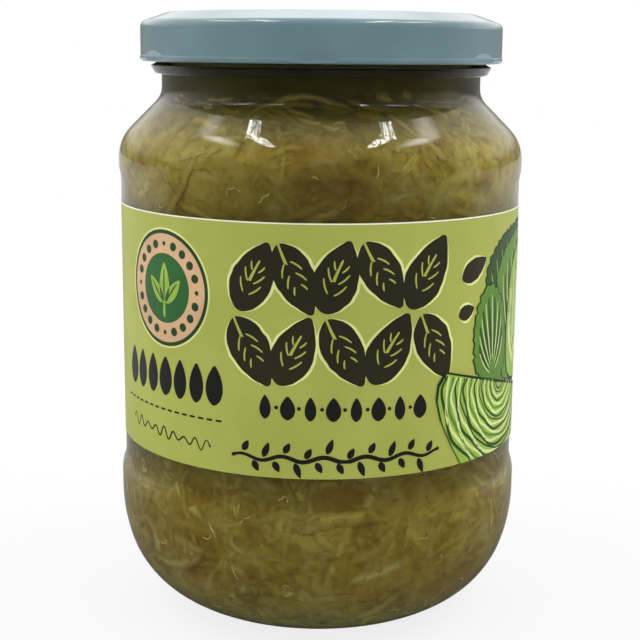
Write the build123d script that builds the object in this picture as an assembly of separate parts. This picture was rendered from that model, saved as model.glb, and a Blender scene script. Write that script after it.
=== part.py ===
from build123d import *
import math
import os

# A twist-off jar of sauerkraut: glass jar, pressed steel lid, paper wrap label,
# packed cabbage and the brine over it. Millimetres, +Z up, base centre at the origin.

# Glass body
body_radius = 48.15  # widest ring, just above the heel
panel_recess = 0.95  # depth of the label band below the widest ring
shoulder_recess = 0.5  # how far the ring above the label band stays inside the widest one
wall = 2.7
side_radius = 38.4  # long curve from the widest ring into the heel
heel_radius = 23.0  # rounding from the heel to the bearing ring
heel_blend_angle = 18.8  # where the two curves meet, in degrees below level
heel_land = 4.0  # straight height of the widest ring
step_radius = 8.0  # both curves of the steps into and out of the label band
shoulder_land = 1.2
shoulder_radius = 10.0
shoulder_slope = 45.0  # degrees
neck_radius = 37.4
neck_fillet = 5.0
neck_height = 2.7
bearing_width = 3.8
push_up = 2.4  # rise of the underside at the centre
base_thickness = 3.8  # glass at the centre of the base

# Finish: the bead, the thread ridges and the sealing rim
bead_height = 2.8
bead_low_lip = 0.3  # bead proud of the finish wall at its underside
bead_high_lip = 1.3  # and at its widest, just below the lid
bead_step = 0.4  # height of the bead's underside
bead_chamfer = 0.7  # height of the slope from the bead to the finish wall
finish_radius = 38.6
finish_height = 9.6
rim_round = 1.2
thread_count = 6
thread_depth = 1.6
thread_root = 1.9  # height of a ridge at the glass
thread_crest = 1.0
thread_span = 44.0  # degrees that one ridge runs round the finish
thread_rise = 2.4  # climb over that span
thread_bite = 0.2  # how far a ridge's root is sunk in the finish wall

# Lid
lid_clearance = 1.68  # between the thread's crest and the inside of the skirt
seal_rise = 1.7  # from the sealing rim to the outside of the raised panel
sheet = 0.3
curl_radius = 0.9  # rolled edge
skirt_inset = 0.12  # skirt inside the curl's widest line
corner_drop = 3.5  # top of the straight skirt below the raised panel
corner_radius = 1.8
cone_angle = 19.0  # slope of the ring between corner and panel
crown_radius = 3.0
panel_ring = 11.5  # raised ring's inner edge, inside the skirt
panel_step = 0.5
button_radius = 12.0
button_step = 0.4
step_run = 0.8  # radial run of each pressed step
edge_gap = 0.2  # between the bead's top and the lid's edge
compound_width = 3.0
lug_gap = 0.6  # between a lug's tip and the finish wall
lug_span = 12.0  # degrees
lug_height = 2.0
lug_pad = 4.2  # height of the pressed wall above a lug
lug_clearance = 0.15  # below the ridge that holds it
tuck_radius = 4.5  # upright roundness of the flat pressed into the curl over a lug
tuck_depth = 0.38
tuck_length = 16.0
closure_turn = 28.0  # from +X to the first lug, degrees

# Label
label_height = 55.1
label_margin = 5.0  # bare panel above and below the label
label_thickness = 0.1
label_gap = 11.0  # between the label's ends, at the back

# Contents
kraut_below_rim = 17.0
kraut_relief = 2.2  # how far the packed top rises and falls
hollow_count = 11
hollow_radius = 17.0
mound_radius = 13.0
golden_turn = 137.5
brine_below_rim = 8.0

# Radii and heights that follow from the sizes above
panel_radius = body_radius - panel_recess
shoulder_bulge_radius = body_radius - shoulder_recess
crest_radius = finish_radius + thread_depth
lid_radius = crest_radius + lid_clearance + sheet + skirt_inset
blend = math.radians(heel_blend_angle)
slope = math.radians(shoulder_slope)
bulge_z = heel_radius + (side_radius - heel_radius) * math.sin(blend)
bearing_radius = body_radius - side_radius + (side_radius - heel_radius) * math.cos(blend)
step_in_angle = math.acos(1 - (body_radius - panel_radius) / (2 * step_radius))
step_out_angle = math.acos(1 - (shoulder_bulge_radius - panel_radius) / (2 * step_radius))
step_in_z = bulge_z + heel_land
panel_low = step_in_z + 2 * step_radius * math.sin(step_in_angle)
panel_high = panel_low + label_height + 2 * label_margin
shoulder_low = panel_high + 2 * step_radius * math.sin(step_out_angle)
shoulder_z = shoulder_low + shoulder_land
neck_run = neck_radius + neck_fillet - (shoulder_bulge_radius - shoulder_radius)
neck_low = shoulder_z + (shoulder_radius + neck_fillet - neck_run * math.cos(slope)) / math.sin(slope)
neck_high = neck_low + neck_height
bead_top = neck_high + bead_height
rim_z = bead_top + finish_height
bore_radius = neck_radius - wall
lid_edge = bead_top + edge_gap
lid_top = rim_z + seal_rise
brine_level = rim_z - brine_below_rim
kraut_level = rim_z - kraut_below_rim


def on_circle(centre, radius, angle):
    return (centre[0] + radius * math.cos(angle), centre[1] + radius * math.sin(angle))


def arc(centre, radius, start, end):
    middle = (start + end) / 2
    return ThreePointArc(*[on_circle(centre, radius, a) for a in (start, middle, end)])


def loop(points):
    return [Line(a, b) for a, b in zip(points, points[1:] + points[:1])]


def path(points):
    return [Line(a, b) for a, b in zip(points, points[1:])]


def flipped(edge):
    return ThreePointArc(edge @ 1, edge @ 0.5, edge @ 0)


def joined(edges):
    """The same edges in order, with a straight line over each gap."""
    chained = edges[:1]
    for edge in edges[1:]:
        if (chained[-1] @ 1 - edge @ 0).length > 1e-6:
            chained.append(Line(chained[-1] @ 1, edge @ 0))
        chained.append(edge)
    return chained


def turned(edges, angle=360):
    section = Plane.XZ * make_face(edges)
    return revolve(section, Axis.Z, angle)


def dome(rim_radius, rim_height, top_height):
    """An arc from the axis at top_height down to the rim, square to the axis."""
    rise = top_height - rim_height
    radius = (rim_radius**2 + rise**2) / (2 * rise)
    centre = (0, top_height - radius)
    edge_angle = math.asin((rim_height - centre[1]) / radius)
    return arc(centre, radius, math.pi / 2, edge_angle)


def body_curves(inset):
    """The side of the jar from the bearing ring to the neck, moved inwards by inset."""
    heel = (bearing_radius, heel_radius)
    side = (body_radius - side_radius, bulge_z)
    convex_in = (body_radius - step_radius, step_in_z)
    concave_in = (panel_radius + step_radius, panel_low)
    concave_out = (panel_radius + step_radius, panel_high)
    convex_out = (shoulder_bulge_radius - step_radius, shoulder_low)
    shoulder = (shoulder_bulge_radius - shoulder_radius, shoulder_z)
    neck = (neck_radius + neck_fillet, neck_low)
    outside, inside = step_radius - inset, step_radius + inset
    return [
        arc(heel, heel_radius - inset, -math.pi / 2, -blend),
        arc(side, side_radius - inset, -blend, 0),
        arc(convex_in, outside, 0, step_in_angle),
        arc(concave_in, inside, math.pi + step_in_angle, math.pi),
        arc(concave_out, inside, math.pi, math.pi - step_out_angle),
        arc(convex_out, outside, -step_out_angle, 0),
        arc(shoulder, shoulder_radius - inset, 0, slope),
        arc(neck, neck_fillet + inset, math.pi + slope, math.pi),
    ]


def cavity(level):
    """The inside of the glass, filled to a level in the neck."""
    floor = dome(bearing_radius, wall, push_up + base_thickness)
    surface = Line((bore_radius, level), (0, level))
    axis = Line((0, level), floor @ 0)
    return turned(joined([floor] + body_curves(wall) + [surface, axis]))


def thread_ridge():
    root = finish_radius - thread_bite
    lift = (thread_root - thread_crest) / 2
    corners = [(root, 0), (crest_radius, lift), (crest_radius, lift + thread_crest), (root, thread_root)]
    ridge = turned(loop(corners), thread_span)
    ridge = Rot(0, 0, -thread_span / 2) * ridge
    half_run = finish_radius * math.sin(math.radians(thread_span / 2))
    pitch = math.degrees(math.atan(thread_rise / 2 / half_run))
    low_end = lid_edge + lug_height + lug_clearance
    ahead = thread_span / 2 - lug_span / 2 - 2
    return Rot(0, 0, ahead) * Pos(0, 0, low_end + thread_rise / 2) * Rot(pitch, 0, 0) * ridge


def around(piece, count):
    return [Rot(0, 0, closure_turn + 360 / count * i) * piece for i in range(count)]


def make_jar():
    bead = [
        (neck_radius, neck_high),
        (finish_radius + bead_low_lip, neck_high + bead_step),
        (finish_radius + bead_high_lip, bead_top - bead_chamfer),
        (finish_radius, bead_top),
    ]
    outer_round = (finish_radius - rim_round, rim_z - rim_round)
    inner_round = (bore_radius + rim_round, rim_z - rim_round)
    under = dome(bearing_radius - bearing_width, 0, push_up)
    floor = dome(bearing_radius, wall, push_up + base_thickness)
    outline = [under] + body_curves(0) + path(bead)
    outline += [arc(outer_round, rim_round, 0, math.pi / 2)]
    outline += [arc(inner_round, rim_round, math.pi / 2, math.pi)]
    outline += [flipped(curve) for curve in reversed(body_curves(wall))]
    outline += [flipped(floor), Line(floor @ 0, under @ 0)]
    return turned(joined(outline)) + around(thread_ridge(), thread_count)


def lid_path(inset):
    """The lid's surface from the skirt over the corner to the flat panel, moved inwards by inset."""
    lean = math.pi / 2 - math.radians(cone_angle)
    skirt = lid_radius - skirt_inset
    corner = (skirt - corner_radius, lid_top - corner_drop)
    reach = corner[0] * math.cos(lean) + corner[1] * math.sin(lean) + corner_radius
    crown_z = lid_top - crown_radius
    crown = ((reach - crown_radius - crown_z * math.sin(lean)) / math.cos(lean), crown_z)
    top = lid_top - inset
    ring_radius = skirt - panel_ring
    steps = [
        (ring_radius, top),
        (ring_radius - step_run, top - panel_step),
        (button_radius, top - panel_step),
        (button_radius - step_run, top - panel_step - button_step),
        (0, top - panel_step - button_step),
    ]
    start = (skirt - inset, lid_edge + curl_radius)
    skirt_line = Line(start, (skirt - inset, corner[1]))
    corner_arc = arc(corner, corner_radius - inset, 0, lean)
    crown_arc = arc(crown, crown_radius - inset, lean, math.pi / 2)
    return joined([skirt_line, corner_arc, crown_arc] + path(steps))


def cone_underside(radius):
    lean = math.pi / 2 - math.radians(cone_angle)
    corner_x = lid_radius - skirt_inset - corner_radius
    corner_z = lid_top - corner_drop
    reach = corner_x * math.cos(lean) + corner_z * math.sin(lean) + corner_radius - sheet / 2
    return (reach - radius * math.cos(lean)) / math.sin(lean)


def make_lid():
    outer = lid_path(0)
    inner = lid_path(sheet)
    ends = [Line(outer[-1] @ 1, inner[-1] @ 1), Line(inner[0] @ 0, outer[0] @ 0)]
    shell = turned(outer + ends + inner)
    curl_at = (lid_radius - curl_radius, lid_edge + curl_radius)
    curl = revolve(Plane.XZ * Pos(*curl_at) * Circle(curl_radius), Axis.Z)
    # The sealing compound fills the channel between the rim and the pressed steel.
    compound_in = (bore_radius + finish_radius - compound_width) / 2
    compound_out = compound_in + compound_width
    compound = [
        (compound_in, rim_z),
        (compound_out, rim_z),
        (compound_out, cone_underside(compound_out)),
        (compound_in, cone_underside(compound_in)),
    ]
    seal = turned(loop(compound))
    # A lug is the curl pressed inwards, with the skirt drawn in above it.
    wall_in = lid_radius - skirt_inset - sheet / 2
    lug_low = lid_edge + sheet
    lug_top = lid_edge + lug_height
    pad_top = lid_edge + lug_pad
    lug_reach = finish_radius + lug_gap
    crest_clear = crest_radius + lug_clearance
    corners = [
        (lug_reach, lug_low),
        (wall_in, lug_low),
        (wall_in, pad_top),
        (wall_in - sheet, pad_top),
        (crest_clear, lug_top),
        (lug_reach, lug_top),
    ]
    lug = turned(loop(corners), lug_span)
    lug = Rot(0, 0, -lug_span / 2) * lug
    tuck_at = lid_radius + tuck_radius - tuck_depth
    tuck = Pos(tuck_at, 0, lid_edge + curl_radius) * Rot(90, 0, 0) * Cylinder(tuck_radius, tuck_length)
    return shell + curl + seal + around(lug, thread_count) - around(tuck, thread_count)


def make_label():
    z_low = panel_low + label_margin
    z_high = z_low + label_height
    corners = [(panel_radius, z_low), (panel_radius + label_thickness, z_low)]
    corners += [(panel_radius + label_thickness, z_high), (panel_radius, z_high)]
    gap_angle = math.degrees(label_gap / panel_radius)
    wrap = turned(loop(corners), 360 - gap_angle)
    return Rot(0, 0, 90 + gap_angle / 2) * wrap


def packed_top():
    """Everything below the uneven surface of the packed cabbage."""
    heap = Pos(0, 0, kraut_level / 2) * Cylinder(body_radius, kraut_level)
    for i in range(hollow_count):
        angle = math.radians(golden_turn * i)
        spread = body_radius * 0.78 * math.sqrt((i + 0.4) / hollow_count)
        depth = kraut_relief * (0.6 + 0.4 * math.sin(2.3 * i))
        place = Pos(spread * math.cos(angle), spread * math.sin(angle), kraut_level)
        if i % 2:
            heap -= place * Pos(0, 0, hollow_radius - depth) * Sphere(hollow_radius)
        else:
            heap += place * Pos(0, 0, depth - mound_radius) * Sphere(mound_radius)
    return heap


jar = make_jar()
lid = make_lid()
label = make_label()
below_top = packed_top()
filled = cavity(brine_level)
sauerkraut = filled & below_top
brine = filled - below_top

os.makedirs("parts", exist_ok=True)
nodes = {"jar": jar, "lid": lid, "label": label, "sauerkraut": sauerkraut, "brine": brine}
for name, shape in nodes.items():
    solids = shape.solids()
    print(name, len(solids), round(shape.volume), shape.bounding_box().size)
    export_step(solids[0] if len(solids) == 1 else shape, f"parts/{name}.step")
print("bearing radius", round(bearing_radius, 2), "lid edge", round(lid_edge, 2))
print("rim", round(rim_z, 2), "brine level", round(brine_level, 2), "panel", round(panel_low, 2))
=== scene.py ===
import bmesh
import bpy
import math
import random
from mathutils import Matrix, Vector, noise
from mathutils.bvhtree import BVHTree


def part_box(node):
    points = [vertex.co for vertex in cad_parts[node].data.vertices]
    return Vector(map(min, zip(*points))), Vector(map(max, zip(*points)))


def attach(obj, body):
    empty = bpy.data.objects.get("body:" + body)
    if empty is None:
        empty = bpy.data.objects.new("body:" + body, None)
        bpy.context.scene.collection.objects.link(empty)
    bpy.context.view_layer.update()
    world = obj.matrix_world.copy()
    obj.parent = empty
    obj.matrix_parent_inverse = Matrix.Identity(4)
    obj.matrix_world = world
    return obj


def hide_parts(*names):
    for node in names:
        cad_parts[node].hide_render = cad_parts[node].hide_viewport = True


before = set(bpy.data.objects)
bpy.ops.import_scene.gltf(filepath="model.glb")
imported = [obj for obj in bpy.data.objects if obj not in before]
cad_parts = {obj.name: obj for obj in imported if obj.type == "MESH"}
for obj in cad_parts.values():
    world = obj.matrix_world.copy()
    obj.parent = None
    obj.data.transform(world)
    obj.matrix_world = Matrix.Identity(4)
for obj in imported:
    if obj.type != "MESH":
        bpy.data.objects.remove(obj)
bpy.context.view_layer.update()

mm = 0.001
sharpAngle = 50  # degrees between two faces past which their edge stays sharp
scene = bpy.context.scene
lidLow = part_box("lid")[0]
labelLow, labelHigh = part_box("label")
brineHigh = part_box("brine")[1]


def fromHex(code):  # sRGB hex to the linear values that a socket takes
    channels = [int(code[i:i + 2], 16) / 255 for i in (1, 3, 5)]
    return [c / 12.92 if c <= 0.04045 else ((c + 0.055) / 1.055) ** 2.4 for c in channels] + [1.0]


def addNode(tree, kind, links=None, **settings):  # links: sockets to take a value or another node's output
    node = tree.nodes.new(kind)
    for name, value in settings.items():
        setattr(node, name, value)
    for socket, value in (links or {}).items():
        target = node.inputs[socket]
        if isinstance(value, bpy.types.NodeSocket):
            tree.links.new(value, target)
        else:
            target.default_value = value
    return node


def newMaterial(name):
    material = bpy.data.materials.new(name)
    material.use_nodes = True
    material.node_tree.nodes.clear()
    return material, material.node_tree


def finishMaterial(tree, surface, volume=None):
    links = {"Surface": surface}
    if volume:
        links["Volume"] = volume
    addNode(tree, "ShaderNodeOutputMaterial", links)


def clearForLamps(tree, surface, tint):  # lets the lamps light what stands behind the glass
    path = addNode(tree, "ShaderNodeLightPath")
    through = addNode(tree, "ShaderNodeBsdfTransparent", {"Color": tint})
    mix = addNode(tree, "ShaderNodeMixShader", {
        0: path.outputs["Is Shadow Ray"], 1: surface, 2: through.outputs[0]})
    return mix.outputs[0]


def ramp(tree, factor, stops):
    node = addNode(tree, "ShaderNodeValToRGB", {"Fac": factor})
    elements = node.color_ramp.elements
    while len(elements) < len(stops):
        elements.new(0.5)
    for element, (place, code) in zip(elements, stops):
        element.position = place
        element.color = fromHex(code)
    return node.outputs["Color"]


def tinted(tree, colour, code, factor):  # mixes a second colour in by a factor socket
    mix = addNode(tree, "ShaderNodeMix", {0: factor, 6: colour, 7: fromHex(code)}, data_type="RGBA")
    return mix.outputs[2]


def spread(tree, value, low, high, start=0.0, end=1.0):  # carries low to high over to start to end
    return addNode(tree, "ShaderNodeMapRange", {"Value": value, 1: low, 2: high, 3: start, 4: end}).outputs[0]


def toObject(name, bm, materials, smooth=True):
    mesh = bpy.data.meshes.new(name)
    bm.to_mesh(mesh)
    bm.free()
    for polygon in mesh.polygons:
        polygon.use_smooth = smooth
    if smooth:
        mesh.set_sharp_from_angle(angle=math.radians(sharpAngle))
    obj = bpy.data.objects.new(name, mesh)
    scene.collection.objects.link(obj)
    for material in materials:
        mesh.materials.append(material)
    return obj


def place(piece, slot, *nodes):  # a finished piece rides on the one body and may stand for a CAD node
    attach(piece, "root")
    if nodes:
        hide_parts(*nodes)


# Camera: a long lens a third of a metre off, level with the lid and tilted down at the label
camera = {
    "distance": 322.07, "aboveLidEdge": 3.15, "lens": 75.5, "sensor": 36, "nearest": 10,  # mm
    "tilt": 11.43, "pan": 0.05, "roll": 0.53,  # degrees
}
cameraData = bpy.data.cameras.new("camera")
cameraData.lens = camera["lens"]
cameraData.sensor_width = camera["sensor"]
cameraData.clip_start = camera["nearest"] * mm
cameraObject = bpy.data.objects.new("camera", cameraData)
turn = Matrix.Rotation(math.radians(-camera["pan"]), 4, "Z")
turn = turn @ Matrix.Rotation(math.radians(90 - camera["tilt"]), 4, "X")
turn = turn @ Matrix.Rotation(math.radians(camera["roll"]), 4, "Z")
stand = Vector((0, -camera["distance"] * mm, lidLow.z + camera["aboveLidEdge"] * mm))
cameraObject.matrix_world = Matrix.Translation(stand) @ turn
scene.collection.objects.link(cameraObject)
scene.camera = cameraObject
scene.view_settings.view_transform = "Standard"
print("camera set")

# The glass's inner wall, read from the frame as a line from the base's centre up to the neck
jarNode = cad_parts["jar"].data
jarTree = BVHTree.FromPolygons([v.co for v in jarNode.vertices], [p.vertices[:] for p in jarNode.polygons])
wall = {
    "heart": 60,  # mm up the jar's axis, where the rays to the wall start
    "lowest": -89.9, "belowBrine": 0.2,  # degrees
    "rows": 200, "offSeam": 0.0002,
}
heart = Vector((0, 0, wall["heart"] * mm))
topAngle = math.degrees(math.atan2(brineHigh.z - heart.z, brineHigh.x)) - wall["belowBrine"]
wallLine = []
for i in range(wall["rows"] + 1):
    lift = math.radians(wall["lowest"] + (topAngle - wall["lowest"]) * i / wall["rows"])
    aim = Vector((math.cos(lift), math.cos(lift) * wall["offSeam"], math.sin(lift))).normalized()
    hit = jarTree.ray_cast(heart, aim)[0]
    wallLine.append((math.hypot(hit.x, hit.y), hit.z))
runLength = [0.0]
for (r0, z0), (r1, z1) in zip(wallLine, wallLine[1:]):
    runLength.append(runLength[-1] + math.hypot(r1 - r0, z1 - z0))
wallRun = runLength[-1]


def wallAt(run):  # radius, height and the way inwards at a distance along that line
    run = min(max(run, 0.0), wallRun - 1e-7)
    low, high = 0, len(runLength) - 1
    while high - low > 1:
        middle = (low + high) // 2
        if runLength[middle] <= run:
            low = middle
        else:
            high = middle
    share = (run - runLength[low]) / (runLength[high] - runLength[low])
    r = wallLine[low][0] + (wallLine[high][0] - wallLine[low][0]) * share
    z = wallLine[low][1] + (wallLine[high][1] - wallLine[low][1]) * share
    a, b = wallLine[max(low - 2, 0)], wallLine[min(high + 2, len(wallLine) - 1)]
    step = math.hypot(b[0] - a[0], b[1] - a[1])
    return r, z, -(b[1] - a[1]) / step, (b[0] - a[0]) / step


def runAtHeight(z):
    for i in range(len(wallLine) - 1, 0, -1):
        if wallLine[i - 1][1] <= z <= wallLine[i][1]:
            share = (z - wallLine[i - 1][1]) / max(wallLine[i][1] - wallLine[i - 1][1], 1e-9)
            return runLength[i - 1] + (runLength[i] - runLength[i - 1]) * share
    return wallRun


def latheLine(points, steps):
    bm = bmesh.new()
    verts = [bm.verts.new((r, 0, z)) for r, z in points]
    edges = [bm.edges.new(pair) for pair in zip(verts, verts[1:])]
    bmesh.ops.spin(
        bm, geom=verts + edges, cent=(0, 0, 0), axis=(0, 0, 1), angle=math.tau, steps=steps, use_merge=True)
    bmesh.ops.remove_doubles(bm, verts=bm.verts, dist=1e-6)
    bmesh.ops.recalc_face_normals(bm, faces=bm.faces)
    return bm


# Glass
glass = {
    "ior": 1.5, "tint": "#F6FBF7", "roughness": 0.015,
    "ripplePitch": 18.0, "rippleDepth": 0.1, "grainPitch": 0.6, "grainDepth": 0.004,  # mm
    "absorb": "#B2B69A", "density": 20.0, "wetWithin": 0.3,  # the last in mm
}
# blown soda-lime glass: clear, faintly green where it is deep, with soft ripples and a fine grain
flintGlass, tree = newMaterial("flintGlass")
coords = addNode(tree, "ShaderNodeTexCoord").outputs["Object"]
ripple = addNode(tree, "ShaderNodeTexNoise", {
    "Vector": coords, "Scale": 1000 / glass["ripplePitch"], "Detail": 1.0})
grain = addNode(tree, "ShaderNodeTexNoise", {
    "Vector": coords, "Scale": 1000 / glass["grainPitch"], "Detail": 1.0})
bump = addNode(tree, "ShaderNodeBump", {
    "Height": ripple.outputs["Fac"], "Strength": 1.0, "Distance": glass["rippleDepth"] * mm})
fine = addNode(tree, "ShaderNodeBump", {
    "Height": grain.outputs["Fac"], "Strength": 1.0, "Distance": glass["grainDepth"] * mm,
    "Normal": bump.outputs[0]})
body = addNode(tree, "ShaderNodeBsdfPrincipled", {
    "Base Color": fromHex(glass["tint"]), "Roughness": glass["roughness"], "IOR": glass["ior"],
    "Transmission Weight": 1.0, "Normal": fine.outputs["Normal"]})
depthTint = addNode(tree, "ShaderNodeVolumeAbsorption", {
    "Color": fromHex(glass["absorb"]), "Density": glass["density"]})
finishMaterial(tree, clearForLamps(tree, body.outputs[0], fromHex(glass["tint"])), depthTint.outputs[0])

# the same glass where brine wets it: next to no reflection is left
wettedGlass, tree = newMaterial("wettedGlass")
body = addNode(tree, "ShaderNodeBsdfPrincipled", {
    "Base Color": fromHex(glass["tint"]), "Roughness": glass["roughness"], "IOR": glass["ior"],
    "Transmission Weight": 1.0, "Specular Tint": (0, 0, 0, 1)})
finishMaterial(tree, clearForLamps(tree, body.outputs[0], fromHex(glass["tint"])))

jarMesh = jarNode.copy()
jarMesh.materials.clear()
jarMesh.materials.append(flintGlass)
jarMesh.materials.append(wettedGlass)
for polygon in jarMesh.polygons:  # brine wets what the heart sees of the inner wall, up to its level
    hit = jarTree.ray_cast(heart, (polygon.center - heart).normalized())[0]
    foot = min(jarMesh.vertices[i].co.z for i in polygon.vertices)
    atWall = hit is not None and (hit - polygon.center).length < glass["wetWithin"] * mm
    wet = atWall and foot < brineHigh.z
    polygon.material_index = 1 if wet else 0
jarGlass = bpy.data.objects.new("jarGlass", jarMesh)
scene.collection.objects.link(jarGlass)
place(jarGlass, "flint_glass", "jar")
print("glass built")

# Brine, a quarter of a millimetre into the wall
brine = {
    "ior": 1.34, "tint": "#FBF9EC", "absorb": "#A9A24C", "density": 50.0, "steps": 144,
    "into": 0.25, "meniscus": 1.2, "wallStop": 0.4, "shoulderDrop": 0.2, "levelDrop": 0.3,  # mm
}
# salty pickling liquid: clear olive brown that darkens with depth
brineLiquid, tree = newMaterial("brineLiquid")
body = addNode(tree, "ShaderNodeBsdfPrincipled", {
    "Base Color": fromHex(brine["tint"]), "Roughness": 0.0, "IOR": brine["ior"],
    "Transmission Weight": 1.0, "Specular Tint": (0, 0, 0, 1)})
depthTint = addNode(tree, "ShaderNodeVolumeAbsorption", {
    "Color": fromHex(brine["absorb"]), "Density": brine["density"]})
finishMaterial(tree, clearForLamps(tree, body.outputs[0], fromHex(brine["tint"])), depthTint.outputs[0])

points = [(0, wallLine[0][1] - brine["into"] * mm)]
for i in range(2, len(wallLine), 2):
    r, z, nr, nz = wallAt(runLength[i])
    points.append((r - nr * brine["into"] * mm, z - nz * brine["into"] * mm))
points = [p for p in points if p[1] < brineHigh.z - brine["wallStop"] * mm]
neckRadius = points[-1][0]
inside = neckRadius - brine["meniscus"] * mm
points += [
    (neckRadius, brineHigh.z), (inside, brineHigh.z - brine["shoulderDrop"] * mm),
    (0, brineHigh.z - brine["levelDrop"] * mm)]
brineFill = toObject("brineFill", latheLine(points, brine["steps"]), [brineLiquid])
place(brineFill, "brine", "brine")
print("brine built")

# Cabbage: a core just behind the glass, with shreds, flat cuts, threads and bubbles pressed against the wall
cabbage = {
    "coreDepth": 0.4, "coreRelief": 0.3, "level": 129.4, "strandPitch": 4.5, "lumpPitch": 12.0,  # mm
    "blotchPitch": 13.0, "brownPitch": 23.8, "fleckPitch": 3.6, "fibrePitch": 2.4, "fibreDepth": 0.15,  # mm
    "shredTop": 123.0,  # mm up, the highest strip
    "levelled": 14.0,  # mm along the wall under that, over which strips come to lie level
    "coreSteps": 300, "capRings": 12,
}
cabbageSpots = {  # centres and reaches in mm
    "brown": (6, -44, 105), "brownReach": (11, 3), "brownShare": 0.6,
    # painted shade at the front of the shoulder
    "paintedFrontShade": (0, -42, 112), "paintedFrontShadeReach": (34, 10), "paintedFrontShadeTo": 0.64,
}
paintedCabbageShades = [  # painted shade: colour, height where it starts, height where it is full, its full share
    ("#6A5416", labelHigh.z + 7 * mm, labelHigh.z + 1 * mm, 0.6),  # behind the label's upper edge
    ("#7C6420", labelLow.z - 12 * mm, labelLow.z - 4 * mm, 0.4),  # under its lower edge
    ("#4A4420", 111 * mm, 120 * mm, 0.88),  # in the neck
    ("#6A7038", 14 * mm, 3 * mm, 0.6),  # in the heel
]
topRun = runAtHeight(cabbage["shredTop"] * mm)


def nearTo(tree, coords, centre, reach, start, end):  # start far from a spot in mm, end close to it
    spot = [c * mm for c in centre]
    away = addNode(tree, "ShaderNodeVectorMath", {0: coords, 1: spot}, operation="DISTANCE")
    return spread(tree, away.outputs["Value"], reach[0] * mm, reach[1] * mm, start, end)


def cabbageColour(tree):
    coords = addNode(tree, "ShaderNodeTexCoord").outputs["Object"]
    blotch = addNode(tree, "ShaderNodeTexNoise", {
        "Vector": coords, "Scale": 1000 / cabbage["blotchPitch"], "Detail": 4.0, "Roughness": 0.6,
        "Distortion": 0.9})
    colour = ramp(tree, blotch.outputs["Fac"], [(0.32, "#B48C38"), (0.5, "#E6C560"), (0.68, "#FAE18A")])
    # paler flecks where a rib or a cut edge comes up to the glass, browner patches deeper in
    fleck = addNode(tree, "ShaderNodeTexNoise", {
        "Vector": coords, "Scale": 1000 / cabbage["fleckPitch"], "Detail": 2.0, "Distortion": 1.6})
    colour = tinted(tree, colour, "#FFEFA8", spread(tree, fleck.outputs["Fac"], 0.54, 0.74, 0.0, 0.5))
    colour = tinted(tree, colour, "#7C6014", spread(tree, fleck.outputs["Fac"], 0.46, 0.28, 0.0, 0.5))
    brown = addNode(tree, "ShaderNodeTexNoise", {
        "Vector": coords, "Scale": 1000 / cabbage["brownPitch"], "Detail": 2.0})
    colour = tinted(tree, colour, "#A8641E", spread(tree, brown.outputs["Fac"], 0.56, 0.7, 0.0, 0.6))
    # one such patch stands at the front of the shoulder
    patch = nearTo(
        tree, coords, cabbageSpots["brown"], cabbageSpots["brownReach"], 0.0, cabbageSpots["brownShare"])
    colour = tinted(tree, colour, "#A05A1A", patch)
    # painted shade: less light reaches the cabbage close to the label's edges, in the neck and in the heel,
    # so these colours darken it there
    height = addNode(tree, "ShaderNodeSeparateXYZ", {0: coords}).outputs["Z"]
    for code, start, full, share in paintedCabbageShades:
        colour = tinted(tree, colour, code, spread(tree, height, start, full, 0.0, share))
    fibre = addNode(tree, "ShaderNodeTexNoise", {
        "Vector": coords, "Scale": 1000 / cabbage["fibrePitch"], "Detail": 2.0, "Distortion": 1.0})
    # painted light and shade: the cabbage is lit brighter below the label than in the shoulder, and painted
    # darker at the front of the shoulder
    light = spread(tree, height, labelLow.z, labelHigh.z, 1.16, 0.98)
    paintedFrontShade = nearTo(tree, coords, cabbageSpots["paintedFrontShade"], cabbageSpots["paintedFrontShadeReach"], 1.0, cabbageSpots["paintedFrontShadeTo"])
    light = addNode(tree, "ShaderNodeMath", {0: light, 1: paintedFrontShade}, operation="MULTIPLY")
    return colour, fibre.outputs["Fac"], light.outputs[0]


def cabbageMaterial(name, own=None, soft=0.7):  # own: tones of single pieces, faded into the common colour
    material, tree = newMaterial(name)
    colour, fibre, light = cabbageColour(tree)
    if own:
        tone = addNode(tree, "ShaderNodeAttribute", attribute_name="tone").outputs["Fac"]
        share = addNode(tree, "ShaderNodeAttribute", attribute_name="share").outputs["Fac"]
        ownColour = ramp(tree, tone, own)
        mix = addNode(tree, "ShaderNodeMix", {0: share, 6: colour, 7: ownColour}, data_type="RGBA")
        colour = mix.outputs[2]
    # the painted light and shade scale the cabbage's colour here
    lit = addNode(tree, "ShaderNodeVectorMath", {0: colour, "Scale": light}, operation="SCALE")
    bump = addNode(tree, "ShaderNodeBump", {
        "Height": fibre, "Strength": 0.5, "Distance": cabbage["fibreDepth"] * mm})
    body = addNode(tree, "ShaderNodeBsdfPrincipled", {
        "Base Color": lit.outputs["Vector"], "Roughness": 0.45, "IOR": 1.36, "Specular IOR Level": 0.1,
        "Subsurface Weight": soft, "Subsurface Radius": (0.9, 0.85, 0.5), "Subsurface Scale": 0.0011,
        "Normal": bump.outputs["Normal"]})
    finishMaterial(tree, body.outputs[0])
    return material


# fermented cabbage packed tight: olive straw, brown in places
pressedCabbage = cabbageMaterial("pressedCabbage")
# single shreds, a little translucent in the brine
cabbageShred = cabbageMaterial("cabbageShred", [(0.0, "#B08A30"), (0.5, "#E6C454"), (1.0, "#FFEA9C")], 0.3)
# pale ribs and raw cut edges
cabbageRib = cabbageMaterial("cabbageRib", [(0.0, "#F4D87C"), (1.0, "#FFF4B8")], 0.2)

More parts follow.
